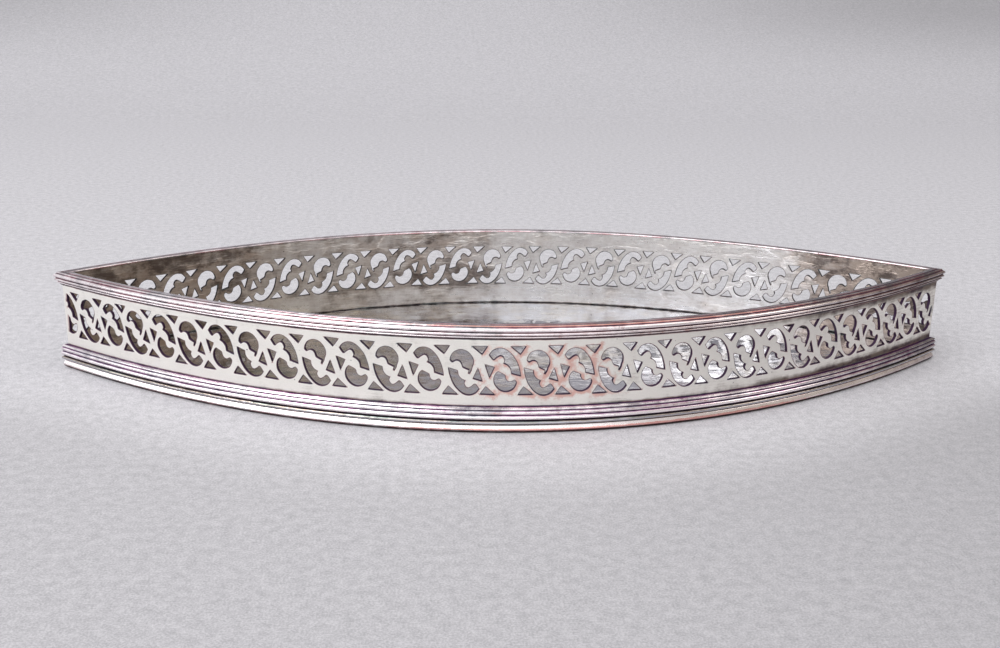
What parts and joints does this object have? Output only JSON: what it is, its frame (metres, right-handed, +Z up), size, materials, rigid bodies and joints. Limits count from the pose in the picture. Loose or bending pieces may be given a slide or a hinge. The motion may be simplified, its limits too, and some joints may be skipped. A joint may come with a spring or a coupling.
{
  "type": "snuffer tray",
  "caption": "Boat-shaped tray with an upright gallery pierced with scrolls, reeded rim and base mouldings, and an open flat floor to lay a candle snuffer on.",
  "frame": {"origin": "centre of the face that the tray stands on, under the middle of the floor", "axes": "+X along the tray from corner to corner, +Y across it towards the back side, +Z up"},
  "size_m": [0.2546, 0.106, 0.0279],
  "materials": {
    "floor_plate": "worn silver plate over copper, polished, with fine scratches and warm tarnish",
    "gallery_sheet": "silver plate over copper, softly polished, with copper showing round the piercings",
    "rim_wire": "silver-plated reeded wire, worn to copper along its top edge",
    "base_moulding": "silver-plated reeded moulding, dark tarnish in the grooves",
    "foot_band": "silver-plated band, worn warm, dark under its lower edge"
  },
  "bodies": {
    "root": {"base_plate": "floor_plate", "gallery_front": "gallery_sheet", "gallery_back": "gallery_sheet", "rim_wire_front": "rim_wire", "rim_wire_back": "rim_wire", "base_moulding_front": "base_moulding", "base_moulding_back": "base_moulding", "foot_band_front": "foot_band", "foot_band_back": "foot_band"}
  },
  "joints": []
}
